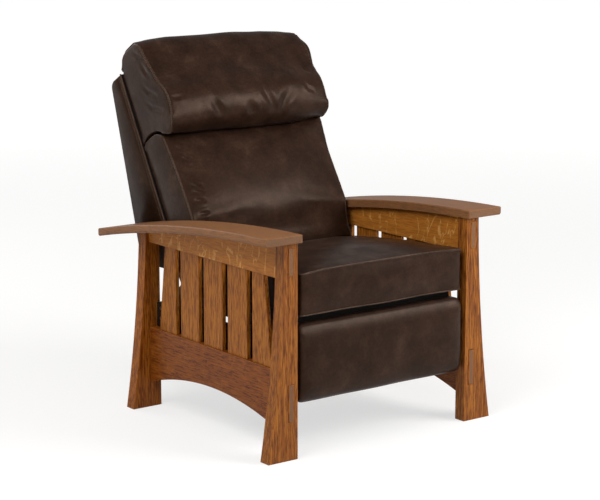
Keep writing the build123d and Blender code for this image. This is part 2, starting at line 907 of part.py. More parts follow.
keep("footrest_fasteners", both_sides(footrest_fasteners.part))

# Legrest board and its pad, rounded all round and crowned in front
footrest_half = leg_clear_half - footrest_side_gap
footrest_high = plate_top + footrest_top_rise
footrest_low = footrest_high - footrest_height
board_half = footrest_half - footrest_board_side
board_low = footrest_low + footrest_board_edge
board_high = footrest_high - footrest_board_edge
board_front = board_rear - footrest_board_thick
with BuildPart() as footrest_board:
    add(board((-board_half, board_half), (board_front, board_rear), (board_low, board_high)))
    holes = screw_holes(*flange_screws)
    add(holes, mode=Mode.SUBTRACT)
    add(mirrored(holes), mode=Mode.SUBTRACT)
keep("footrest_board", footrest_board.part)


def drawn_outline(plane, half, low_high, draw_in, swell, corner):
    """Sketch a cushion's outline, its sides pulled in and its ends swelling out."""
    low, high = low_high
    with BuildSketch(plane) as outline:
        with BuildLine():
            right = ThreePointArc(
                (half, low), (half - draw_in, (low + high) / 2), (half, high)
            )
            top = ThreePointArc(right @ 1, (0, high + swell), (-half, high))
            left = ThreePointArc(
                top @ 1, (draw_in - half, (low + high) / 2), (-half, low)
            )
            ThreePointArc(left @ 1, (0, low - swell), right @ 0)
        make_face()
        fillet(outline.vertices(), radius=corner)
    return outline.sketch


pad_rear = board_rear + soft_gap
pad_front = pad_rear - footrest_thick
with BuildPart() as footrest_pad:
    with BuildSketch(side_plane(0)) as pad_section:
        with BuildLine():
            face = ThreePointArc(
                (pad_front, footrest_low),
                (pad_front - footrest_crown, (footrest_low + footrest_high) / 2),
                (pad_front, footrest_high),
            )
            Polyline(face @ 1, (pad_rear, footrest_high), (pad_rear, footrest_low), face @ 0)
        make_face()
        fillet(pad_section.vertices().sort_by(Axis.X)[:2], radius=footrest_round)
    extrude(amount=footrest_half, both=True)
    pad_outline = drawn_outline(
        front_plane(pad_rear),
        footrest_half,
        (footrest_low, footrest_high),
        footrest_draw_in,
        footrest_draw_in,
        footrest_round,
    )
    extrude(pad_outline, amount=footrest_thick + 2 * footrest_crown, mode=Mode.INTERSECT)
    pocket = board(
        (-board_half - soft_gap, board_half + soft_gap),
        (board_front - soft_gap, pad_rear),
        (board_low - soft_gap, board_high + soft_gap),
    )
    add(pocket, mode=Mode.SUBTRACT)
keep("footrest_pad", footrest_pad.part)


def fullness(share):
    """How much of its crown a cushion has at a share of its half width."""
    return 1 - abs(share) ** crown_power


# Seat cushion
seat_half = leg_clear_half - seat_side_gap
seat_front = seat_front_setback - half_span
seat_rear = platform_rear + seat_rear_overhang
seat_low = seat_board_high + webbing_thick + soft_gap


def seat_section(share):
    """The seat cushion's section at a share of its half width, in depth and height."""
    full = fullness(share)
    front_high = seat_low + seat_front_thick + seat_front_lift * full
    rear_high = seat_low + seat_rear_thick + seat_rear_lift * full
    crown_high = (front_high + rear_high) / 2 + seat_end_crown + seat_crown * full
    with BuildSketch(side_plane(share * seat_half)) as section:
        with BuildLine():
            boxing = ThreePointArc(
                (seat_front, seat_low),
                (seat_front - seat_boxing_bulge, (seat_low + front_high) / 2),
                (seat_front, front_high),
            )
            top = ThreePointArc(
                boxing @ 1, ((seat_front + seat_rear) / 2, crown_high), (seat_rear, rear_high)
            )
            rear = Line(top @ 1, (seat_rear - seat_rear_low_inset, seat_low))
            Line(rear @ 1, boxing @ 0)
        make_face()
    return section.sketch


with BuildPart() as seat_cushion:
    loft([seat_section(share) for share in station_shares], ruled=True)
    seat_outline = drawn_outline(
        floor_plane(seat_low),
        seat_half,
        (seat_front - seat_boxing_bulge, seat_rear),
        seat_draw_in,
        seat_end_crown,
        seat_corner,
    )
    extrude(seat_outline, amount=2 * seat_front_thick, mode=Mode.INTERSECT)
keep("seat_cushion", seat_cushion.part)


def wedge(x, inset=0.0, front=0.0, low=back_low):
    """Sketch the back frame's side at x, drawn in from its top and rear by an inset."""
    face = front + inset
    level = low - inset
    front_up = (level - back_foot[1] - face * sin(lean)) / cos(lean)
    rear_up = (level - back_foot[1] + back_foot_depth * sin(lean)) / (
        cos(lean) + back_taper * sin(lean)
    )
    rear_top = (back_rise, rear_forward(back_rise))
    with BuildSketch(back_side_plane(x)) as side:
        with BuildLine():
            Polyline(
                (front_up, face),
                (back_rise, face),
                rear_top,
                (rear_up, rear_forward(rear_up)),
                close=True,
            )
        make_face()
        fillet(side.vertices().sort_by_distance(rear_top)[0], radius=back_top_round)
        if inset > 0:
            offset(amount=-inset)
    return side.sketch


# Brackets that carry the back on its hinge pins, let into the side boards
bracket_rounds = [
    (hinge, bracket_pivot_round),
    (back_point(*bracket_knee), bracket_round),
    (back_point(*bracket_end), bracket_round),
]
bracket_screws = (
    side_plane(back_board_inner),
    [back_point(*bracket_knee), back_point(*bracket_end)],
    -1,
    back_board_thick - soft_gap,
)
with BuildPart() as back_bracket:
    extrude(rounded_hull(side_plane(back_board_inner), bracket_rounds), amount=plate_thick)
    bore = rods(
        side_plane(back_board_inner), [hinge], hinge_pin_radius + running_gap, plate_thick
    )
    add(bore, mode=Mode.SUBTRACT)
    add(screw_holes(*bracket_screws), mode=Mode.SUBTRACT)
keep_pair("back_bracket", back_bracket.part)
keep("back_screws", both_sides(screws(*bracket_screws)))

# Side boards of the back frame
with BuildPart() as back_side_board:
    extrude(wedge(back_board_inner, back_inset), amount=back_board_thick)
    grown = [(place, radius + wood_gap) for place, radius in bracket_rounds]
    extrude(
        rounded_hull(side_plane(back_board_inner), grown),
        amount=plate_thick + wood_gap,
        mode=Mode.SUBTRACT,
    )
    add(screw_holes(*bracket_screws), mode=Mode.SUBTRACT)
keep_pair("back_side_board", back_side_board.part)

# Rails across the back frame: one at the head, two at the foot
with BuildPart() as back_top_rail:
    extrude(wedge(0, back_inset), amount=back_rail_half, both=True)
    with BuildSketch(back_side_plane(0)):
        with Locations((back_rise - back_inset - back_rail_thick / 2, 0)):
            Rectangle(back_rail_thick, 2 * back_foot_depth)
    extrude(amount=back_rail_half, both=True, mode=Mode.INTERSECT)
keep("back_top_rail", back_top_rail.part)
with BuildPart() as back_lower_rails:
    with BuildSketch(back_side_plane(0)):
        front_rail_up = (back_low + back_rail_thick * sin(lean) - back_foot[1]) / cos(lean)
        with Locations((front_rail_up + back_rail_width / 2, -back_rail_thick / 2)):
            Rectangle(back_rail_width, back_rail_thick)
    extrude(amount=back_rail_half, both=True)
    with BuildPart(mode=Mode.PRIVATE) as rear_rail:
        extrude(wedge(0, back_inset), amount=back_rail_half, both=True)
        inner = wedge(0, back_inset + back_rail_thick, overrun, back_low - overrun)
        extrude(inner, amount=back_rail_half, both=True, mode=Mode.SUBTRACT)
        with BuildSketch(back_side_plane(0)):
            with Locations((back_rear_rail_up + back_rail_width / 2, -back_foot_depth / 2)):
                Rectangle(back_rail_width, back_foot_depth)
        extrude(amount=back_rail_half, both=True, mode=Mode.INTERSECT)
    add(rear_rail.part)
keep("back_lower_rails", back_lower_rails.part)

# Outer panel of the back, bent over its top edge, and the leather cover around it all
panel_inset = cover_thick + wood_gap
with BuildPart() as back_panel:
    extrude(wedge(0, panel_inset), amount=back_board_outer, both=True)
    inner = wedge(0, panel_inset + back_panel_thick, overrun, back_low - overrun)
    extrude(inner, amount=back_half, both=True, mode=Mode.SUBTRACT)
keep("back_panel", back_panel.part)
with BuildPart() as back_cover:
    extrude(wedge(0), amount=back_half, both=True)
    inner = wedge(0, cover_thick, overrun, back_low - overrun)
    extrude(inner, amount=back_half - cover_thick, both=True, mode=Mode.SUBTRACT)
keep("back_cover", back_cover.part)

# Webbing across the front of the back frame
with BuildPart() as back_webbing:
    with BuildSketch(back_front_plane(0)):
        middle_up = back_strap_first_up + (back_strap_count - 1) * back_strap_pitch / 2
        with Locations((0, middle_up)):
            with GridLocations(back_strap_pitch, back_strap_pitch, 1, back_strap_count):
                Rectangle(2 * (back_board_outer - strap_end_margin / 2), back_strap_width)
    extrude(amount=webbing_thick)
keep("back_webbing", back_webbing.part)


def cushion_section(share):
    """The lower back cushion's section at a share of its half width."""
    full = cushion_crown * fullness(share)
    foot = (cushion_foot_up, cushion_foot_depth + full * cushion_foot_share)
    waist = (cushion_waist_up, cushion_waist_depth + full * cushion_waist_share)
    belly = (cushion_belly_up, cushion_belly_depth + full * cushion_belly_share)
    head = (cushion_head_up, cushion_head_depth + full * cushion_head_share)
    rear = (cushion_rear_up, cushion_seat)
    with BuildSketch(back_side_plane(share * cushion_half)) as section:
        with BuildLine():
            ThreePointArc(foot, waist, belly)
            ThreePointArc(belly, (cushion_middle_up, cushion_middle_depth + full), head)
            ThreePointArc(head, (cushion_top_up, cushion_top_depth), rear)
            Polyline(rear, (cushion_foot_up, cushion_seat), foot)
        make_face()
    return section.sketch


cushion_half = leg_clear_half - cushion_side_gap
with BuildPart() as back_cushion:
    loft([cushion_section(share) for share in station_shares], ruled=True)
    cushion_outline = drawn_outline(
        back_front_plane(0),
        cushion_half,
        (cushion_foot_up, cushion_top_up),
        cushion_draw_in,
        soft_gap,
        cushion_corner,
    )
    extrude(cushion_outline, amount=2 * cushion_belly_depth, mode=Mode.INTERSECT)
keep("back_cushion", back_cushion.part)


def pillow_section(share):
    """The head pillow's section at a share of its half width."""
    full = pillow_crown * fullness(share)
    lip = (pillow_lip_up, pillow_lip_depth + full * pillow_lip_share)
    low = (pillow_low_up, pillow_low_depth + full * pillow_low_share)
    middle = (pillow_middle_up, pillow_middle_depth + full)
    chin = (pillow_chin_up, pillow_chin_depth + full * pillow_chin_share)
    belly = (pillow_belly_up, pillow_belly_depth + full * pillow_belly_share)
    brow = (
        pillow_brow_up + full * pillow_brow_rise_share,
        pillow_brow_depth + full * pillow_brow_share,
    )
    top = (
        pillow_top_up + full * pillow_top_rise_share,
        pillow_top_depth + full * pillow_top_share,
    )
    nape = (pillow_nape_up + full * pillow_nape_rise_share, pillow_nape_depth)
    rear = (pillow_rear_up, cushion_seat)
    heel = (cushion_rear_up + pillow_lift, cushion_seat)
    throat = (
        cushion_head_up + 2 * pillow_lift,
        cushion_head_depth + pillow_lift + cushion_crown * fullness(share) * cushion_head_share,
    )
    with BuildSketch(back_side_plane(share * pillow_half)) as section:
        with BuildLine():
            ThreePointArc(lip, chin, low)
            ThreePointArc(low, belly, middle)
            ThreePointArc(middle, (pillow_high_up, pillow_high_depth + full), brow)
            ThreePointArc(brow, top, nape)
            ThreePointArc(nape, (pillow_rear_turn_up, pillow_rear_turn_depth), rear)
            Line(rear, heel)
            ThreePointArc(heel, (cushion_top_up + pillow_lift, cushion_top_depth), throat)
            Line(throat, lip)
        make_face()
    return section.sketch


pillow_half = leg_clear_half - pillow_side_gap
with BuildPart() as head_pillow:
    loft([pillow_section(share) for share in station_shares], ruled=True)
    pillow_outline = drawn_outline(
        back_front_plane(0),
        pillow_half,
        (pillow_lip_up, pillow_top_up),
        pillow_draw_in,
        pillow_top_swell,
        pillow_corner,
    )
    extrude(pillow_outline, amount=2 * pillow_belly_depth, mode=Mode.INTERSECT)
keep("head_pillow", head_pillow.part)

os.makedirs("parts", exist_ok=True)
for name, part in pieces.items():
    export_step(part, f"parts/{name}.step")
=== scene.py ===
import json
from math import cos, pi, radians, sin

import bmesh
import bpy
import numpy as np
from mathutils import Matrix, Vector, noise
from mathutils.bvhtree import BVHTree
from mathutils.kdtree import KDTree

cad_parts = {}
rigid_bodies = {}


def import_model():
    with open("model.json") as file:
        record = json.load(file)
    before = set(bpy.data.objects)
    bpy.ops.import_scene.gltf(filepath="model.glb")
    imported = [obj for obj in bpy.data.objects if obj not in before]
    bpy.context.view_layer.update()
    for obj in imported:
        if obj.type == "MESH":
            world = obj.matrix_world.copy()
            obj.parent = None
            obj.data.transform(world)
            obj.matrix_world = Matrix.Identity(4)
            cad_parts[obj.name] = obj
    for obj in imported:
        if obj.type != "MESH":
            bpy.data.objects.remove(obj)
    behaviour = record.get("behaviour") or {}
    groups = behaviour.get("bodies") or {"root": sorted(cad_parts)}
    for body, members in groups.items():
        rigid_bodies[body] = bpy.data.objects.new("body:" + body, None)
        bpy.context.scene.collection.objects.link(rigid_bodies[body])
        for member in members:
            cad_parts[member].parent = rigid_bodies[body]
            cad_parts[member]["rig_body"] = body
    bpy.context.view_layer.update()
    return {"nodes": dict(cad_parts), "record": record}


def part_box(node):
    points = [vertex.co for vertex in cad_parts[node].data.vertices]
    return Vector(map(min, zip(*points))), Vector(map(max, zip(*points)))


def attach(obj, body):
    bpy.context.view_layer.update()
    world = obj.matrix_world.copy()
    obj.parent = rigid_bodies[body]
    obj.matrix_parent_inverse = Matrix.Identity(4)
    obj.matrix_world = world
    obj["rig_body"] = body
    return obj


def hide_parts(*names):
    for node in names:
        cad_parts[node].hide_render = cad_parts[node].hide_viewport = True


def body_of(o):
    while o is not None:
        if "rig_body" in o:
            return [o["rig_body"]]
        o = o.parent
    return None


# A mission reclining armchair: quartersawn oak frame, dark leather cushions with welted seams,
# and a black painted platform and steel linkage. Lengths are in metres unless named otherwise,
# and right and left are as seen from the front.

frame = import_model()
nodes = frame["nodes"]
collection = bpy.context.scene.collection
MM = 0.001
UP = Vector((0, 0, 1))
SIDEWAYS = Vector((1, 0, 0))

# The camera, solved from the oak frame's edges in the photograph, with its target on the
# chair's own middle line
PHOTO_WIDTH, PHOTO_HEIGHT = 600, 500
LENS_MM = 117.02
SENSOR_MM = 36.0
CAMERA_AZIMUTH = -36.862
CAMERA_ELEVATION = 11.323
CAMERA_DISTANCE = 5.602
TARGET_SIDEWAYS = -0.01855
TARGET_HEIGHT = 0.4806

# The legs' middle, from the feet of the front and rear legs
front_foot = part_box("front_leg_right")
rear_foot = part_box("rear_leg_right")
legs_middle = (front_foot[0].y + rear_foot[1].y) / 2

azimuth = radians(CAMERA_AZIMUTH)
elevation = radians(CAMERA_ELEVATION)
right_hand = Vector((cos(azimuth), sin(azimuth), 0))
level_front = Vector((sin(azimuth), -cos(azimuth), 0))
towards_camera = Vector(
    (sin(azimuth) * cos(elevation), -cos(azimuth) * cos(elevation), sin(elevation))
)
target = right_hand * TARGET_SIDEWAYS + Vector((0, legs_middle, TARGET_HEIGHT))
eye = target + towards_camera * CAMERA_DISTANCE

# Where a line of sight that misses a surface is tried for its nearest point: so many steps
# either way of the target's distance
SIGHT_STEP = 20 * MM
SIGHT_STEPS = 30


def seen_at(surface, across, down):
    """The point of a surface that the camera sees at a place in the photograph's frame, or the
    nearest to that line of sight where it passes beside the surface."""
    upright = towards_camera.cross(right_hand)
    width = SENSOR_MM / LENS_MM
    sight = (
        right_hand * (across - PHOTO_WIDTH / 2) * width / PHOTO_WIDTH
        + upright * (PHOTO_HEIGHT / 2 - down) * width / PHOTO_WIDTH
        - towards_camera
    ).normalized()
    hit = surface.ray_cast(eye, sight)[0]
    if hit is not None:
        return hit
    reaches = [
        CAMERA_DISTANCE + step * SIGHT_STEP for step in range(-SIGHT_STEPS, SIGHT_STEPS + 1)
    ]
    nearest = [surface.find_nearest(eye + sight * reach) for reach in reaches]
    return min(nearest, key=lambda found: found[3])[0]


def colour(hex_code):
    """An sRGB hex colour as linear red, green, blue and full alpha."""
    parts = [int(hex_code[i : i + 2], 16) / 255 for i in (1, 3, 5)]
    linear = [p / 12.92 if p <= 0.04045 else ((p + 0.055) / 1.055) ** 2.4 for p in parts]
    return (*linear, 1.0)


class Finish:
    """A procedural material: its node tree with short helpers to add and link nodes."""

    def __init__(self, name):
        self.material = bpy.data.materials.new(name)
        self.material.use_nodes = True
        self.tree = self.material.node_tree
        self.shader = self.tree.nodes["Principled BSDF"]

    def feed(self, socket, value):
        """Give an input a value, or link another node's output to it."""
        if isinstance(value, bpy.types.NodeSocket):
            self.tree.links.new(value, socket)
        else:
            socket.default_value = value

    def add(self, kind, settings=None, **inputs):
        """One node with its settings. An input is named, or is a number after an underscore."""
        made = self.tree.nodes.new("ShaderNode" + kind)
        for key, value in (settings or {}).items():
            setattr(made, key, value)
        for key, value in inputs.items():
            which = int(key[1:]) if key[1:].isdigit() else key.replace("_", " ")
            self.feed(made.inputs[which], value)
        return made

    def ramp(self, factor, stops):
        """A colour ramp with stops of place and hex colour."""
        made = self.add("ValToRGB", None, Fac=factor)
        bar = made.color_ramp
        for place, _ in stops[1:-1]:
            bar.elements.new(place)
        for element, (place, code) in zip(bar.elements, stops):
            element.position = place
            element.color = colour(code)
        return made.outputs["Color"]

    def mix(self, factor, first, second, blend="MIX"):
        """Two colours mixed by a factor. A mix node's colours are its inputs 6 and 7, and its
        output 2."""
        settings = {"data_type": "RGBA", "blend_type": blend}
        return self.add("Mix", settings, _0=factor, _6=first, _7=second).outputs[2]

    def math(self, operation, first, second=0.0):
        """One sum on two numbers."""
        return self.add("Math", {"operation": operation}, _0=first, _1=second).outputs[0]

    def wavering(self, uneven, middle, swing):
        """A number that swings about a middle value with a noise from 0 to 1."""
        return self.math("ADD", self.math("MULTIPLY", uneven, swing), middle - swing / 2)

    def place(self, sizes, shift=(0, 0, 0), tilt=(0, 0, 0)):
        """Object coordinates shifted and tilted, then counted in real sizes in millimetres."""
        made = self.add(
            "Mapping", {"vector_type": "TEXTURE"},
            Vector=self.add("TexCoord").outputs["Object"],
            Location=shift, Rotation=tilt, Scale=[size * MM for size in sizes],
        )
        return made.outputs["Vector"]

    def noise(self, place, detail=3.0, roughness=0.55, distortion=0.0):
        """Noise with features about one unit of its place across."""
        made = self.add(
            "TexNoise", None, Vector=place, Scale=1.0,
            Detail=detail, Roughness=roughness, Distortion=distortion,
        )
        return made.outputs["Fac"]

    def bump(self, height, depth, strength, after=None):
        """A bump of a real depth, on top of another if there is one."""
        made = self.add("Bump", None, Height=height, Strength=strength, Distance=depth)
        if after is not None:
            self.feed(made.inputs["Normal"], after)
        return made.outputs["Normal"]

    def set(self, **inputs):
        """The shader's inputs, by value or link. Gives the material."""
        for key, value in inputs.items():
            self.feed(self.shader.inputs[key.replace("_", " ")], value)
        return self.material


# Which way a board's grain runs, as the axis number of its length
UPRIGHT = 2
LENGTHWISE = 1

# Stained oak's tones: along the growth rings, across the open pores, over the slow clouds, and
# on end grain
RING_TONES = (
    (0.0, "#6c3c11"), (0.36, "#834b16"), (0.48, "#9c601f"), (0.62, "#ac7029"), (1.0, "#8b531a"),
)
PORE_TONES = (
    (0.0, "#6e5136"), (0.40, "#a08260"), (0.52, "#f6eee6"), (0.64, "#ffffff"), (1.0, "#ffffff"),
)
CLOUD_TONES = ((0.0, "#c9b8a8"), (0.45, "#ffffff"), (1.0, "#ffffff"))
END_TONES = ((0.0, "#3f2a1b"), (0.45, "#6f4f38"), (1.0, "#8a6a50"))
EVEN_OAK = "#9e611f"
RAY_TONE = "#d09a54"
# Where rays show: along thin lines, and in the patches that break the lines up
RAY_LINES = (
    (0.0, "#000000"), (0.475, "#000000"), (0.5, "#ffffff"), (0.525, "#000000"), (1.0, "#000000"),
)
RAY_PATCHES = ((0.0, "#000000"), (0.38, "#000000"), (0.50, "#ffffff"), (1.0, "#ffffff"))
# How far one step of a plank's seed moves its figure
SEED_SHIFT = (0.731, 0.417, 0.293)
# A face is end grain where this much of its normal runs with the grain
END_GRAIN = 0.85


def along(grain, width, length, depth=None):
    """Sizes of a pattern that is long in the grain's direction."""
    sizes = [width, width, width]
    if depth is not None:
        sizes[0] = depth
    sizes[grain] = length
    return sizes


def stained_oak(
    name, grain, seed, flecks=0.0, streaks=0.5, shade="#ffffff", cathedral=0.0,
    faded=0.0, tint="#96765c",
):
    """Quartersawn white oak, fumed to a warm brown and rubbed to a satin: dark open pores in long
    fine lines, broader streaks, and paler ray flecks that lean across the grain. End grain is
    greyer and darker. Streaks and flecks are shares of the growth rings and of the rays, and a
    third share lays an even tint over the board, which on the arms is a painted sheen and on the
    top rails painted light. Cathedral bends the rings as in a board that isn't quartersawn."""
    oak = Finish(name)
    shift = [seed * step for step in SEED_SHIFT]
    # pores are about 0.3 mm wide, and drawn over 2 mm wide so that they show
    pores = oak.noise(oak.place(along(grain, width=2.3, length=34.0), shift), roughness=0.6)
    ring_sizes = along(grain, width=6.5 + 12 * cathedral, length=190.0 - 120 * cathedral)
    rings = oak.noise(oak.place(ring_sizes, shift), distortion=0.15 + 1.4 * cathedral)
    cloud = oak.noise(oak.place(along(grain, width=55.0, length=230.0), shift), detail=2.0)
    tone = oak.mix(streaks, colour(EVEN_OAK), oak.ramp(rings, RING_TONES))
    tone = oak.mix(0.9, tone, oak.ramp(pores, PORE_TONES), "MULTIPLY")
    tone = oak.mix(0.8, tone, oak.ramp(cloud, CLOUD_TONES), "MULTIPLY")
    # an even tint over the board: a painted sheen on the arms, painted light on the top rails
    tone = oak.mix(faded, tone, colour(tint))
    # medullary rays: thin bright lines that wander across the grain every 20 to 40 mm
    rays = oak.noise(
        oak.place(along(grain, width=85.0, length=36.0, depth=30.0), shift, tilt=(0.3, 0.0, 0.0)),
        detail=2.0, roughness=0.5, distortion=0.6,
    )
    patches = oak.noise(oak.place((34.0, 34.0, 34.0), shift), detail=2.0)
    share = oak.math("MULTIPLY", oak.ramp(rays, RAY_LINES), oak.ramp(patches, RAY_PATCHES))
    tone = oak.mix(oak.math("MULTIPLY", share, flecks), tone, colour(RAY_TONE))
    tone = oak.mix(1.0, tone, colour(shade), "MULTIPLY")
    facing = oak.add("TexCoord").outputs["Normal"]
    lengthwise = oak.add("SeparateXYZ", None, Vector=facing).outputs[grain]
    end = oak.math("GREATER_THAN", oak.math("ABSOLUTE", lengthwise), END_GRAIN)
    speckle = oak.noise(oak.place((1.6, 1.6, 1.6), shift))
    tone = oak.mix(oak.math("MULTIPLY", end, 0.9), tone, oak.ramp(speckle, END_TONES))
    return oak.set(
        Base_Color=tone, IOR=1.5, Specular_IOR_Level=0.16,
        Roughness=oak.wavering(pores, 0.43, 0.14),
        Normal=oak.bump(pores, 0.15 * MM, 0.5),
    )


def dark_leather(name, deep, middle, pale, roughness, seed=0.0):
    """Waxed aniline leather: a dark ground mottled by the hide, a pebble with soft creases, and
    a low sheen that rubs up brighter in places."""
    hide = Finish(name)
    shift = (seed, seed, seed)
    cloud = hide.noise(
        hide.place((62.0, 62.0, 62.0), shift), detail=4.0, roughness=0.6, distortion=0.3
    )
    speck = hide.noise(hide.place((7.0, 7.0, 7.0), shift), detail=4.0, roughness=0.65)
    creases = hide.noise(
        hide.place((19.0, 19.0, 19.0), shift), detail=4.0, roughness=0.6, distortion=0.6
    )
    # the pebble is about 0.8 mm across, and drawn 2 mm across so that it shows
    cells = hide.add(
        "TexVoronoi", {"feature": "DISTANCE_TO_EDGE"},
        Vector=hide.place((2.0, 2.0, 2.0), shift), Scale=1.0,
    ).outputs["Distance"]
    mottle = hide.ramp(
        cloud, ((0.0, deep), (0.36, deep), (0.56, middle), (0.80, pale), (1.0, pale))
    )
    fine = hide.ramp(
        speck, ((0.0, "#8a8078"), (0.42, "#d0c8c2"), (0.62, "#ffffff"), (1.0, "#ffffff"))
    )
    pebble = hide.bump(cells, 0.08 * MM, 0.4)
    return hide.set(
        Base_Color=hide.mix(0.6, mottle, fine, "MULTIPLY"),
        Roughness=hide.wavering(cloud, roughness, -0.22),
        IOR=1.5, Specular_IOR_Level=0.13, Specular_Tint=colour("#ffdcc2"),
        Normal=hide.bump(creases, 0.7 * MM, 0.4, pebble),
    )


def plain(name, code, roughness, metallic=0.0, grain=3.0, depth=0.05, specular=0.5):
    """A painted, plated or woven surface with a slight unevenness of colour and gloss. Its grain
    and depth are in millimetres."""
    coat = Finish(name)
    uneven = coat.noise(coat.place((grain, grain, grain)))
    darker = coat.mix(0.35, colour(code), colour("#000000"))
    return coat.set(
        Base_Color=coat.mix(uneven, colour(code), darker),
        Metallic=metallic, Specular_IOR_Level=specular,
        Roughness=coat.wavering(uneven, roughness, 0.12),
        Normal=coat.bump(uneven, depth * MM, 0.3),
    )


LEATHER = dark_leather("waxed_dark_leather", "#261811", "#302018", "#402e23", 0.35)
# The welts are the cushions' own leather drawn paler: a painted highlight where the piping
# catches the light
WELT_LEATHER_PAINTED_HIGHLIGHT = dark_leather("waxed_leather_welt_painted_highlight", "#3d2e25", "#4a392f", "#58463a", 0.36, 3.7)
THREAD = plain("bonded_nylon_thread", "#77634f", 0.6, grain=1.0)
# A paler oak for the bevels along the boards' arrises: a painted highlight on the edges
ARRIS_HIGHLIGHT_OAK = stained_oak("oak_arris_painted_highlight", UPRIGHT, 77, shade="#fff0dc", streaks=0.2)
# Finishes of the nodes whose CAD shape is right as it is
FINISH_OF_SLOT = {
    "black_board": plain("black_painted_hardwood", "#1a1410", 0.6, grain=4.0, specular=0.2),
    "black_steel": plain("powder_coated_steel", "#121213", 0.42, grain=1.2),
    "zinc_steel": plain("zinc_plated_steel", "#9a9a96", 0.35, metallic=1.0, grain=2.0),
    "webbing": plain(
        "woven_polypropylene_webbing", "#1c1a18", 0.85, grain=2.5, depth=0.3, specular=0.2
    ),
}


def merged(node):
    """A copy of a CAD node's mesh, its loose triangles joined."""
    mesh = bmesh.new()
    mesh.from_mesh(nodes[node].data)
    bmesh.ops.remove_doubles(mesh, verts=mesh.verts, dist=0.01 * MM)
    return mesh


def flattened(mesh):
    """Join the triangles of a mesh that lie in one plane."""
    bmesh.ops.dissolve_limit(
        mesh, angle_limit=radians(0.5), verts=mesh.verts[:], edges=mesh.edges[:]
    )


def piece(name, mesh, like, material, stands_for=()):
    """A finished piece that rides with the CAD node it is like, and may stand for nodes."""
    data = mesh
    if isinstance(mesh, bmesh.types.BMesh):
        data = bpy.data.meshes.new(name)
        mesh.to_mesh(data)
        mesh.free()
    data.materials.clear()
    data.materials.append(material)
    made = bpy.data.objects.new(name, data)
    collection.objects.link(made)
    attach(made, body_of(nodes[like])[0])
    if stands_for:
        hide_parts(*stands_for)
    return made


def applied(made):
    """The mesh of an object as its modifiers leave it."""
    graph = bpy.context.evaluated_depsgraph_get()
    return bpy.data.meshes.new_from_object(made.evaluated_get(graph))


def smooth_shaded(made, sharp_degrees):
    """Shade an object smooth but for edges that are sharper than an angle."""
    made.data.shade_smooth()
    made.data.set_sharp_from_angle(angle=radians(sharp_degrees))


# Oak boards: the CAD's own boards with their arrises eased and each cut from its own plank
BOARD_EASE = 1.1 * MM
ARM_EASE = 0.5 * MM
ARRIS_DEGREES = 35


def board(node, grain, seed, ease=BOARD_EASE, **figure):
    """One board, its arrises eased and given a paler oak as a painted highlight. The figure is
    stained_oak's.
    """
    mesh = merged(node)
    flattened(mesh)
    oak = stained_oak("quartersawn_oak_" + node, grain, seed, **figure)
    made = piece(node + "_eased", mesh, node, oak, (node,))
    made.data.materials.append(ARRIS_HIGHLIGHT_OAK)
    easing = made.modifiers.new("eased arrises", "BEVEL")
    easing.width = ease
    easing.segments = 2
    easing.limit_method = "ANGLE"
    easing.angle_limit = radians(ARRIS_DEGREES)
    easing.harden_normals = True
    # the bevel's faces take the second material, the paler oak of the painted arris highlight
    easing.material = 1
    smooth_shaded(made, ARRIS_DEGREES)


END_SLATS = (1, 5)
for side, seed in (("right", 0), ("left", 40)):
    board("front_leg_" + side, UPRIGHT, seed + 1, streaks=1.0, faded=0.05, shade="#ece4e0")
    board("rear_leg_" + side, UPRIGHT, seed + 2, streaks=0.8, shade="#f4e8de")
    # The arms' grey even tint and grey shade are a painted sheen over the whole arm
    board(
        "arm_" + side, LENGTHWISE, seed + 3, ease=ARM_EASE,
        streaks=0.45, faded=0.5, shade="#dcd5ce",
    )
    # The top rails' warm even tint is painted light, lifting them out of the shadow under the
    # arms
    board(
        "top_rail_" + side, LENGTHWISE, seed + 4,
        flecks=0.85, streaks=0.4, faded=0.35, tint="#cc8438",
    )
    board(
        "bottom_rail_" + side, LENGTHWISE, seed + 5,
        flecks=0.15, streaks=0.5, shade="#d0bcb0",
    )
    for number in range(1, 6):
        at_end = number in END_SLATS
        board(
            f"slat_{number}_{side}", UPRIGHT, seed + 10 + number,
            streaks=0.8 if at_end else 0.5, cathedral=0.7 if at_end else 0.05,
        )


def run_length(run):
    """The length of a closed run of points."""
    return sum((b - a).length for a, b in zip(run, run[1:] + run[:1]))


def outline(mesh, facing, least):
    """The longest closed run of edges around the faces of a mesh that point one way."""
    inside = {f for f in mesh.faces if f.normal.dot(facing) > least}
    border = [e for e in mesh.edges if sum(f in inside for f in e.link_faces) == 1]
    runs = []
    while border:
        edge = border.pop()
        start, here = edge.verts
        run = [start.co.copy()]
        while here is not start:
            run.append(here.co.copy())
            following = next((e for e in border if here in e.verts), None)
            if following is None:
                break
            border.remove(following)
            here = following.other_vert(here)
        runs.append(run)
    return max(runs, key=run_length)


def evenly(run, pitch, closed=True, rounding=2):
    """A run of points spaced evenly, its corners rounded a little."""
    corners = run + run[:1] if closed else run
    lengths = [(b - a).length for a, b in zip(corners, corners[1:])]
    total = sum(lengths)
    count = max(3, round(total / pitch))
    points = []
    index = 0
    passed = 0.0
    for step in range(count if closed else count + 1):
        reach = total * step / count
        while index < len(lengths) - 1 and passed + lengths[index] < reach:
            passed += lengths[index]
            index += 1
        share = (reach - passed) / max(lengths[index], 1e-9)
        points.append(corners[index].lerp(corners[index + 1], min(share, 1.0)))
    for _ in range(rounding):
        before = points[-1:] + points[:-1]
        after = points[1:] + points[:1]
        rounded = [(a + 2 * p + b) / 4 for a, p, b in zip(before, points, after)]
        points = rounded if closed else points[:1] + rounded[1:-1] + points[-1:]
    return points


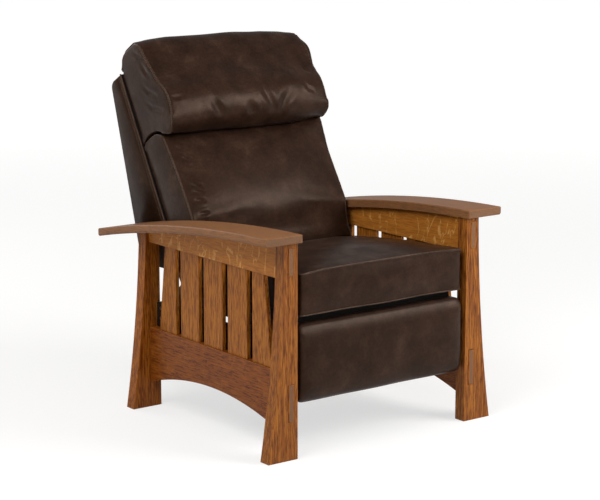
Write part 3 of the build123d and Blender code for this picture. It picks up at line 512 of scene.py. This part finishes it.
def tubes(name, runs, radius, closed, sides=2):
    """A mesh of round tubes along runs of points."""
    line = bpy.data.curves.new(name, "CURVE")
    line.dimensions = "3D"
    line.bevel_depth = radius
    line.bevel_resolution = sides
    line.use_fill_caps = True
    for run in runs:
        spline = line.splines.new("POLY")
        spline.points.add(len(run) - 1)
        for point, place in zip(spline.points, run):
            point.co = (*place, 1)
        spline.use_cyclic_u = closed
    holder = bpy.data.objects.new(name, line)
    collection.objects.link(holder)
    mesh = applied(holder)
    bpy.data.objects.remove(holder)
    mesh.shade_smooth()
    return mesh


def nearness(points):
    """A search tree of points."""
    tree = KDTree(len(points))
    for index, point in enumerate(points):
        tree.insert(point, index)
    tree.balance()
    return tree


def surface_of(data):
    """A search tree of a mesh's surface."""
    mesh = bmesh.new()
    mesh.from_mesh(data)
    tree = BVHTree.FromBMesh(mesh)
    mesh.free()
    return tree


def rows_of(source, field):
    """Vectors of a mesh as rows of numbers."""
    rows = np.empty(len(source) * 3)
    source.foreach_get(field, rows)
    return rows.reshape(-1, 3)


def coordinates(data):
    """The places of a mesh's vertices."""
    return rows_of(data.vertices, "co")


def normals(data):
    """The normals of a mesh's vertices."""
    return rows_of(data.vertex_normals, "vector")


def set_coordinates(data, rows):
    """Put a mesh's vertices in new places."""
    data.vertices.foreach_set("co", rows.ravel())
    data.update()


def swollen(data, moves):
    """Move each vertex of a mesh along its normal."""
    set_coordinates(data, coordinates(data) + normals(data) * np.array(moves)[:, None])


def eased(data, rounds):
    """Smooth the small bumps of a mesh away."""
    ease = bmesh.new()
    ease.from_mesh(data)
    for _ in range(rounds):
        bmesh.ops.smooth_vert(
            ease, verts=ease.verts, factor=0.5, use_axis_x=True, use_axis_y=True, use_axis_z=True
        )
    ease.to_mesh(data)
    ease.free()


# Crowning: how steeply the pull comes in from the middle of the depth to the front, and how far
# and how close to the edge the sides are pulled, next to the top and bottom
FRONT_RISE = 1.6
SIDE_PULL = 0.5
SIDE_CLOSENESS = 3


def crowned(data, depth, power):
    """Pull the edges of a soft piece's front back, so that it bows out in its middle. A higher
    power keeps the pull closer to the edges."""
    rows = coordinates(data)
    middle = (rows.min(axis=0) + rows.max(axis=0)) / 2
    shares = (rows - middle) / (rows.max(axis=0) - middle)
    across, through, up = shares.T
    frontness = np.clip(-FRONT_RISE * through, 0.0, 1.0)
    sides = SIDE_PULL * np.abs(across) ** (SIDE_CLOSENESS * power)
    edge = np.maximum(sides, np.abs(up) ** power)
    rows[:, 1] += depth * frontness * edge
    set_coordinates(data, rows)


# Stuffing: an even grid over the form, and a cloth simulation with pressure from inside. A seam
# holds the cloth fast at its middle, and lets it go bit by bit with distance.
VOXEL = 6 * MM
PRESSURE = 4.0
CLOTH_FRAMES = 20
FREE_BEYOND = 15 * MM
HOLD_FADE = 10 * MM
HOLD_LEVELS = 10


def blown_up(made, held):
    """The mesh of an object after pressure has blown it up wherever it isn't held."""
    holding = made.vertex_groups.new(name="seams")
    for level in range(1, HOLD_LEVELS + 1):
        chosen = np.nonzero(np.round(held * HOLD_LEVELS) == level)[0]
        holding.add(chosen.tolist(), level / HOLD_LEVELS, "REPLACE")
    cloth = made.modifiers.new("cloth", "CLOTH")
    cloth.settings.use_pressure = True
    cloth.settings.uniform_pressure_force = PRESSURE
    cloth.settings.effector_weights.gravity = 0
    cloth.settings.vertex_group_mass = holding.name
    cloth.point_cache.frame_start = 1
    cloth.point_cache.frame_end = CLOTH_FRAMES
    for step in range(1, CLOTH_FRAMES + 1):
        bpy.context.scene.frame_set(step)
    data = applied(made)
    bpy.context.scene.frame_set(1)
    made.modifiers.clear()
    made.vertex_groups.clear()
    return data


def stuffed(node, seams, shrink, cap, proud, calm, rounds=2):
    """A cushion blown up between its seams from a slightly smaller copy of its CAD form. No point
    moves further than the cap, or stands further outside the form than proud. Rounds smooth the
    grid's steps before the cloth, and calm smooths after it, away from the seams."""
    mesh = merged(node)
    form = BVHTree.FromBMesh(mesh)
    data = bpy.data.meshes.new(node + "_stuffing")
    mesh.to_mesh(data)
    mesh.free()
    made = bpy.data.objects.new(node + "_stuffing", data)
    collection.objects.link(made)
    grid = made.modifiers.new("voxels", "REMESH")
    grid.mode = "VOXEL"
    grid.voxel_size = VOXEL
    data = applied(made)
    made.modifiers.clear()
    eased(data, rounds)
    made.data = data
    start = coordinates(data)
    seam_tree = nearness([p for seam in seams for p in seam])
    gaps = np.array([seam_tree.find(place)[2] for place in start])
    held = np.clip((FREE_BEYOND - gaps) / HOLD_FADE, 0.0, 1.0)
    start -= normals(data) * (shrink * (1 - held))[:, None]
    set_coordinates(data, start)
    data = blown_up(made, held)
    made.data = data
    moves = coordinates(data) - start
    lengths = np.linalg.norm(moves, axis=1)
    end = start + moves * np.minimum(1.0, cap / np.maximum(lengths, 1e-9))[:, None]
    for index, place in enumerate(end):
        near, normal, _, _ = form.find_nearest(place)
        outside = (Vector(place) - near).dot(normal)
        if outside > proud:
            end[index] -= np.array(normal) * (outside - proud)
    set_coordinates(data, end)
    eased(data, calm)
    calmed = coordinates(data)
    set_coordinates(data, calmed + (end - calmed) * held[:, None])
    softer = made.modifiers.new("softer", "SUBSURF")
    softer.levels = softer.render_levels = 1
    data = applied(made)
    bpy.data.objects.remove(made)
    data.shade_smooth()
    data.name = node
    return data


# Gathers: they rise over a short way off the seam, last a few reaches, lie in patches a few
# pitches long, and differ from one seam to the next
GATHER_RISE = 4 * MM
GATHER_REACHES = 3
LANE_REACHES = 2.5
PATCH_PITCHES = 6
PATCH_LEVEL = 0.35
SEAM_APART = 7.3
COARSE_FOLDS, FINE_FOLDS = 1.6, 3.7
FINE_SHARE = 0.5


def puckered(data, runs, reach, depth, pitch, seed):
    """Small gathers that run off a seam, as the leather does where it is eased round it."""
    moves = np.zeros(len(data.vertices))
    for number, run in enumerate(runs):
        tree = nearness(run)
        step = (run[1] - run[0]).length
        for index, place in enumerate(coordinates(data)):
            _, at, gap = tree.find(place)
            if gap > GATHER_REACHES * reach:
                continue
            travel = at * step
            length = LANE_REACHES * reach
            lane = Vector((travel / pitch, number * SEAM_APART + seed, gap / length))
            fold = noise.noise(lane * COARSE_FOLDS) + FINE_SHARE * noise.noise(lane * FINE_FOLDS)
            spot = Vector((travel / (PATCH_PITCHES * pitch), seed, number))
            patch = max(0.0, noise.noise(spot) + PATCH_LEVEL)
            rise = min(1.0, gap / GATHER_RISE)
            moves[index] += depth * fold * patch * rise * np.exp(-((gap / reach) ** 2))
    swollen(data, moves)


def rumpled(data, size, depth, seed):
    """Slow dents and swells of soft filling under the leather."""
    scale = Vector((1, 1, 1)) / size
    shift = Vector((seed, seed, seed))
    places = coordinates(data)
    swollen(data, [depth * noise.noise(Vector(place) * scale + shift) for place in places])


# Creases: worked out in short steps, faded at both ends and deepest past their middle, with a
# swell on each side, at so many widths and of a share of their depth
CREASE_STEP = 3 * MM
CREASE_LEAN = 1.4
CREASE_WIDTHS = 4
SWELL_WIDTHS = 1.8
SWELL_SHARE = 0.45


def creased(data, surface, lines, width, depth):
    """Short folds in the leather along lines that the camera sees."""
    places = []
    tapers = []
    for line in lines:
        corners = [seen_at(surface, *spot) for spot in line]
        run = evenly(corners, CREASE_STEP, closed=False, rounding=3)
        for index, place in enumerate(run):
            share = index / max(len(run) - 1, 1)
            places.append(place)
            tapers.append(sin(pi * share**CREASE_LEAN))
    tree = nearness(places)
    moves = np.zeros(len(data.vertices))
    for index, place in enumerate(coordinates(data)):
        _, at, gap = tree.find(place)
        if gap < CREASE_WIDTHS * width:
            groove = np.exp(-((gap / width) ** 2))
            swell = np.exp(-(((gap - SWELL_WIDTHS * width) / width) ** 2))
            moves[index] = depth * tapers[at] * (SWELL_SHARE * swell - groove)
    swollen(data, moves)


def nudged(data, centre, radius, move):
    """Push a soft piece's surface around a point, fading with distance."""
    rows = coordinates(data)
    gaps = np.linalg.norm(rows - np.array(centre), axis=1)
    share = np.exp(-((gaps / radius) ** 2))
    set_coordinates(data, rows + share[:, None] * np.array(move))


def on_surface(run, surface, lift):
    """A run of points laid on a surface and lifted off it a little."""
    laid = []
    for point in run:
        near, normal, _, _ = surface.find_nearest(point)
        laid.append(near + normal * lift)
    return laid


def beside(run, surface, apart, lift):
    """A run of points laid on a surface at a distance to one side of another run."""
    moved = []
    count = len(run)
    for index, point in enumerate(run):
        forward = (run[(index + 1) % count] - run[index - 1]).normalized()
        normal = surface.find_nearest(point)[1]
        moved.append(point + forward.cross(normal).normalized() * apart)
    return on_surface(moved, surface, lift)


def clear_of(run, neighbours, gap):
    """The longest stretch of a closed run that stays clear of its neighbours."""
    trees = [surface_of(nodes[node].data) for node in neighbours]
    free = [min(tree.find_nearest(p)[3] for tree in trees) > gap for p in run]
    if all(free):
        return run
    first = free.index(False)
    stretches = [[]]
    for point, is_free in zip(run[first:] + run[:first], free[first:] + free[:first]):
        if is_free:
            stretches[-1].append(point)
        else:
            stretches.append([])
    return max(stretches, key=len)


# Welts and threads. A welt's middle stands off the leather by a share of its radius.
WELT_RADIUS = 2.0 * MM
THIN_WELT_RADIUS = 1.5 * MM
COVER_WELT_RADIUS = 2.4 * MM
WELT_LIFT_SHARE = 0.45
STITCH_RADIUS = 0.35 * MM
STITCH_PITCH = 5.2 * MM
STITCHES_APART = 4 * MM
STITCH_LIFT = 0.1 * MM
# A stitch shows for two of the four parts of its pitch
PITCH_PARTS = 4


def stitches(run):
    """Short straight pieces of thread along a run of points."""
    fine = evenly(run, STITCH_PITCH / PITCH_PARTS, closed=False, rounding=0)
    starts = range(0, len(fine) - PITCH_PARTS + 1, PITCH_PARTS)
    return [fine[start : start + 3] for start in starts]


def finished_cushion(node, data):
    """A cushion's piece, which stands for its CAD node. Gives its surface."""
    made = piece(node + "_stuffed", data, node, LEATHER, (node,))
    return surface_of(data)


def welt(name, like, runs, surface, closed, radius=WELT_RADIUS):
    """Leather piping along runs, about a quarter of its thickness sunk into a surface."""
    laid = [on_surface(run, surface, WELT_LIFT_SHARE * radius) for run in runs]
    # the piping takes the paler welt leather, a painted highlight
    piece(name, tubes(name, laid, radius, closed), like, WELT_LEATHER_PAINTED_HIGHLIGHT)


def stitching(name, like, runs):
    """Rows of stitches along runs."""
    threads = [thread for run in runs for thread in stitches(run)]
    rods = tubes(name, threads, STITCH_RADIUS, closed=False, sides=0)
    piece(name, rods, like, THREAD)


def side_finish(node, surface):
    """The thin welt and two rows of stitches where a cushion's side panel meets its front."""
    runs = free_seams[node]
    welt(node + "_welts", node, runs, surface, closed=False, radius=THIN_WELT_RADIUS)
    rows = [
        beside(run, surface, apart, STITCH_LIFT)
        for run in runs for apart in (STITCHES_APART, -STITCHES_APART)
    ]
    stitching(node + "_stitching", node, rows)


# Seams of the cushions, from the outlines of their CAD forms: of side panels the whole seam,
# and the stretch of it that no neighbour touches
SEAM_PITCH = 6 * MM
NEIGHBOUR_GAP = 5 * MM
seat_form = merged("seat_cushion")
seat_seams = [evenly(outline(seat_form, way, least=0.6), SEAM_PITCH) for way in (UP, -UP)]
seat_form.free()
whole_seams = {}
free_seams = {}
for node, neighbours in (
    ("back_cushion", ("head_pillow", "back_cover", "back_webbing", "seat_cushion")),
    ("head_pillow", ("back_cushion", "back_cover", "back_webbing")),
):
    form = merged(node)
    whole_seams[node] = [
        evenly(outline(form, way, least=0.7), SEAM_PITCH) for way in (SIDEWAYS, -SIDEWAYS)
    ]
    form.free()
    free_seams[node] = [clear_of(seam, neighbours, NEIGHBOUR_GAP) for seam in whole_seams[node]]

# Seat cushion: boxed, with a welt round its top and bottom
data = stuffed("seat_cushion", seat_seams, shrink=4 * MM, cap=24 * MM, proud=8 * MM, calm=3)
crowned(data, depth=4 * MM, power=2)
puckered(data, seat_seams[:1], reach=16 * MM, depth=1.1 * MM, pitch=34 * MM, seed=2.0)
rumpled(data, size=0.16, depth=2.2 * MM, seed=4.0)
surface = finished_cushion("seat_cushion", data)
welt("seat_welts", "seat_cushion", seat_seams, surface, closed=True)

# Lower back cushion: smooth and full, with small tucks where the front is eased round the welt.
# Spots, tucks, folds and creases are given across and down the photograph's frame.
BACK_CORNER_SPOT = (321, 122)
BACK_TUCKS = (
    ((174, 146), (187, 151)), ((180, 157), (193, 161)), ((189, 184), (203, 187)),
    ((191, 191), (206, 193)), ((193, 200), (207, 201)), ((197, 215), (210, 212)),
)
seams = whole_seams["back_cushion"]
data = stuffed("back_cushion", seams, shrink=2 * MM, cap=24 * MM, proud=7 * MM, calm=12)
corner = seen_at(surface_of(data), *BACK_CORNER_SPOT)
nudged(data, corner, radius=60 * MM, move=(10 * MM, -4 * MM, 13 * MM))
puckered(data, seams, reach=20 * MM, depth=1.6 * MM, pitch=22 * MM, seed=5.0)
creased(data, surface_of(data), BACK_TUCKS, width=6 * MM, depth=3.2 * MM)
side_finish("back_cushion", finished_cushion("back_cushion", data))

# Head pillow: a fat roll that folds over itself, gathered at its ends and under its front
PILLOW_CORNER_SPOT = (304, 48)
PILLOW_BELLY_SPOT = (321, 115)
PILLOW_END_RIGHT = (0.285, 0.22, 1.02)
PILLOW_END_LEFT = (-0.285, 0.26, 1.03)
PILLOW_FOLDS = (
    ((259, 76), (266, 92), (276, 113)), ((295, 84), (286, 98), (279, 113)),
    ((249, 98), (253, 114)), ((210, 94), (216, 104), (223, 116)),
)
PILLOW_CREASES = (
    ((297, 60), (306, 70), (311, 73)), ((296, 47), (305, 56), (309, 58)),
    ((300, 78), (309, 88), (316, 91)), ((139, 62), (146, 73), (151, 76)),
    ((140, 84), (148, 92), (158, 96)), ((142, 100), (152, 108), (164, 110)),
    ((131, 52), (138, 56), (143, 57)), ((182, 70), (170, 74), (156, 76)),
    ((188, 94), (178, 97), (166, 99)),
)
seams = whole_seams["head_pillow"]
data = stuffed("head_pillow", seams, shrink=1 * MM, cap=26 * MM, proud=8 * MM, calm=4)
surface = surface_of(data)
corner = seen_at(surface, *PILLOW_CORNER_SPOT)
belly = seen_at(surface, *PILLOW_BELLY_SPOT)
nudged(data, PILLOW_END_RIGHT, radius=85 * MM, move=(12 * MM, -3 * MM, 8 * MM))
nudged(data, corner, radius=50 * MM, move=(15 * MM, -8 * MM, 11 * MM))
nudged(data, PILLOW_END_LEFT, radius=80 * MM, move=(-3 * MM, 0, 5 * MM))
nudged(data, belly, radius=45 * MM, move=(2 * MM, 0, 9 * MM))
puckered(data, seams, reach=24 * MM, depth=2.0 * MM, pitch=30 * MM, seed=8.0)
creased(data, surface_of(data), PILLOW_FOLDS, width=13 * MM, depth=4.0 * MM)
creased(data, surface_of(data), PILLOW_CREASES, width=7 * MM, depth=2.2 * MM)
rumpled(data, size=0.12, depth=2.5 * MM, seed=11.0)
side_finish("head_pillow", finished_cushion("head_pillow", data))

# Legrest pad: one panel wrapped over soft foam, with no welt
pad_form = merged("footrest_pad")
pad_edges = [
    evenly(outline(pad_form, Vector((0, way, 0)), least=0.6), SEAM_PITCH) for way in (-1, 1)
]
pad_form.free()
data = stuffed(
    "footrest_pad", pad_edges,
    shrink=1 * MM, cap=16 * MM, proud=7 * MM, calm=4, rounds=9,
)
crowned(data, depth=12 * MM, power=4)
rumpled(data, size=0.14, depth=1.2 * MM, seed=21.0)
finished_cushion("footrest_pad", data)

# Leather cover of the back frame: the CAD's shell with soft edges, one skin given its thickness
COVER_EDGE = 6 * MM
HIDE_THICKNESS = 2.5 * MM
# A face looks one way where this much of its normal does
ONE_WAY = 0.99
cover = merged("back_cover")
# The shell's inside, its front rim and its foot go: the skin gets them again with its thickness
centre = sum((v.co for v in cover.verts), Vector()) / len(cover.verts)
webbing_faces = sorted(nodes["back_webbing"].data.polygons, key=lambda face: -face.area)
back_front = next(face.normal.copy() for face in webbing_faces if face.normal.y < -0.5)
inner = [
    f for f in cover.faces
    if (f.calc_center_median() - centre).dot(f.normal) < 0
    or f.normal.dot(back_front) > ONE_WAY or f.normal.z < -ONE_WAY
]
bmesh.ops.delete(cover, geom=inner, context="FACES")
flattened(cover)
folds = [e for e in cover.edges if len(e.link_faces) == 2 and e.calc_face_angle() > radians(30)]
bmesh.ops.bevel(
    cover, geom=folds, offset=COVER_EDGE, segments=4, profile=0.5, affect="EDGES", material=-1
)
skin = piece("back_cover_leather", cover, "back_cover", LEATHER, ("back_cover",))
hide = skin.modifiers.new("hide", "SOLIDIFY")
hide.thickness = HIDE_THICKNESS
hide.offset = -1
smooth_shaded(skin, 40)

# A welt and two rows of stitches down the front edge of each side of the cover
WELT_INSET = 1.5 * MM
WELT_PROUD = 0.8 * MM
THREAD_PROUD = 0.15 * MM
THREAD_SETBACKS = (7 * MM, 12 * MM)
# An edge of the side's outline that is shorter than this isn't its front edge
LONG_EDGE = 0.3
cover_form = merged("back_cover")
beads = []
rows = []
for facing in (SIDEWAYS, -SIDEWAYS):
    corners = outline(cover_form, facing, least=0.95)
    edges = [[a, b] for a, b in zip(corners, corners[1:] + corners[:1])]
    long_edges = [ends for ends in edges if (ends[1] - ends[0]).length > LONG_EDGE]
    front = max(long_edges, key=lambda ends: (ends[0] + ends[1]).dot(back_front))
    edge = evenly(front, SEAM_PITCH, closed=False, rounding=0)
    beads.append([p - facing * WELT_INSET + back_front * WELT_PROUD for p in edge])
    for setback in THREAD_SETBACKS:
        rows.append([p - back_front * setback + facing * THREAD_PROUD for p in edge])
cover_form.free()
bead = tubes("back_cover_welts", beads, COVER_WELT_RADIUS, closed=False)
# the cover's welts take the paler welt leather, a painted highlight
piece("back_cover_welts", bead, "back_cover", WELT_LEATHER_PAINTED_HIGHLIGHT)
stitching("back_cover_stitching", "back_cover", rows)

# The nodes that keep their CAD shape get their finish
for part in frame["record"]["subparts"]:
    finish = FINISH_OF_SLOT.get(part["material_slot"])
    if finish is not None:
        data = nodes[part["node"]].data
        data.materials.clear()
        data.materials.append(finish)

# Floor: a pale paper sweep that the camera sees near white and that keeps the chair's shadow
FLOOR_REACH = 40.0
GLOW_STARTS, GLOW_ENDS = 1.0, 6.0
GLOW_NEAR, GLOW_FAR = 0.62, 0.88
paper = Finish("matt_paper_floor")
path = paper.add("LightPath").outputs
seen = paper.math("MAXIMUM", path["Is Camera Ray"], path["Is Glossy Ray"])
seen = paper.math("MAXIMUM", seen, path["Is Transmission Ray"])
away = paper.add("VectorMath", {"operation": "LENGTH"}, _0=paper.place((1000, 1000, 1000)))
glow = paper.add(
    "MapRange", None, Value=away.outputs["Value"],
    From_Min=GLOW_STARTS, From_Max=GLOW_ENDS, To_Min=GLOW_NEAR, To_Max=GLOW_FAR,
).outputs["Result"]
paper.set(
    Base_Color=paper.mix(seen, colour("#dddbd8"), colour("#a3a2a0")), Roughness=0.95,
    Emission_Color=colour("#ffffff"), Emission_Strength=paper.math("MULTIPLY", seen, glow),
)
sweep = bmesh.new()
bmesh.ops.create_grid(sweep, x_segments=1, y_segments=1, size=FLOOR_REACH)
floor_data = bpy.data.meshes.new("floor")
sweep.to_mesh(floor_data)
sweep.free()
floor_data.materials.append(paper.material)
floor = bpy.data.objects.new("floor", floor_data)
collection.objects.link(floor)

# The room: soft even light from all round, paler where the walls meet the floor
WALL_FOOT, WALL_TOP = 0.03, 0.15
FOOT_LIGHT, ROOM_LIGHT = 0.8, 0.3
world = bpy.data.worlds.new("studio")
bpy.context.scene.world = world
world.use_nodes = True
air = world.node_tree
room = air.nodes["Background"]
room.inputs["Color"].default_value = colour("#ffffff")
height = air.nodes.new("ShaderNodeSeparateXYZ")
air.links.new(air.nodes.new("ShaderNodeTexCoord").outputs["Generated"], height.inputs[0])
wall = air.nodes.new("ShaderNodeMapRange")
wall.inputs["From Min"].default_value = WALL_FOOT
wall.inputs["From Max"].default_value = WALL_TOP
wall.inputs["To Min"].default_value = FOOT_LIGHT
wall.inputs["To Max"].default_value = ROOM_LIGHT
air.links.new(height.outputs["Z"], wall.inputs["Value"])
air.links.new(wall.outputs["Result"], room.inputs["Strength"])


def lamp(name, place, size, watts, aim):
    """A large soft area lamp that looks at a point on the chair's middle, at a height."""
    light = bpy.data.lights.new(name, "AREA")
    light.shape = "RECTANGLE"
    light.size, light.size_y = size
    light.energy = watts
    made = bpy.data.objects.new(name, light)
    made.location = place
    made.rotation_euler = (Vector((0, 0, aim)) - place).to_track_quat("-Z", "Y").to_euler()
    collection.objects.link(made)


lamp("key", level_front * 2.0 - right_hand * 1.4 + UP * 3.0, (2.3, 2.0), watts=84, aim=0.6)
lamp("side", right_hand * 2.6 + level_front * 0.9 + UP * 1.95, (1.8, 1.5), watts=84, aim=0.7)
lamp("rear", UP * 2.1 - level_front * 1.7 - right_hand * 2.5, (1.6, 1.3), watts=22, aim=0.6)

lens = bpy.data.cameras.new("camera")
lens.lens = LENS_MM
lens.sensor_width = SENSOR_MM
camera = bpy.data.objects.new("camera", lens)
camera.location = eye
camera.rotation_euler = towards_camera.to_track_quat("Z", "Y").to_euler()
collection.objects.link(camera)
bpy.context.scene.camera = camera
bpy.context.scene.view_settings.view_transform = "Standard"
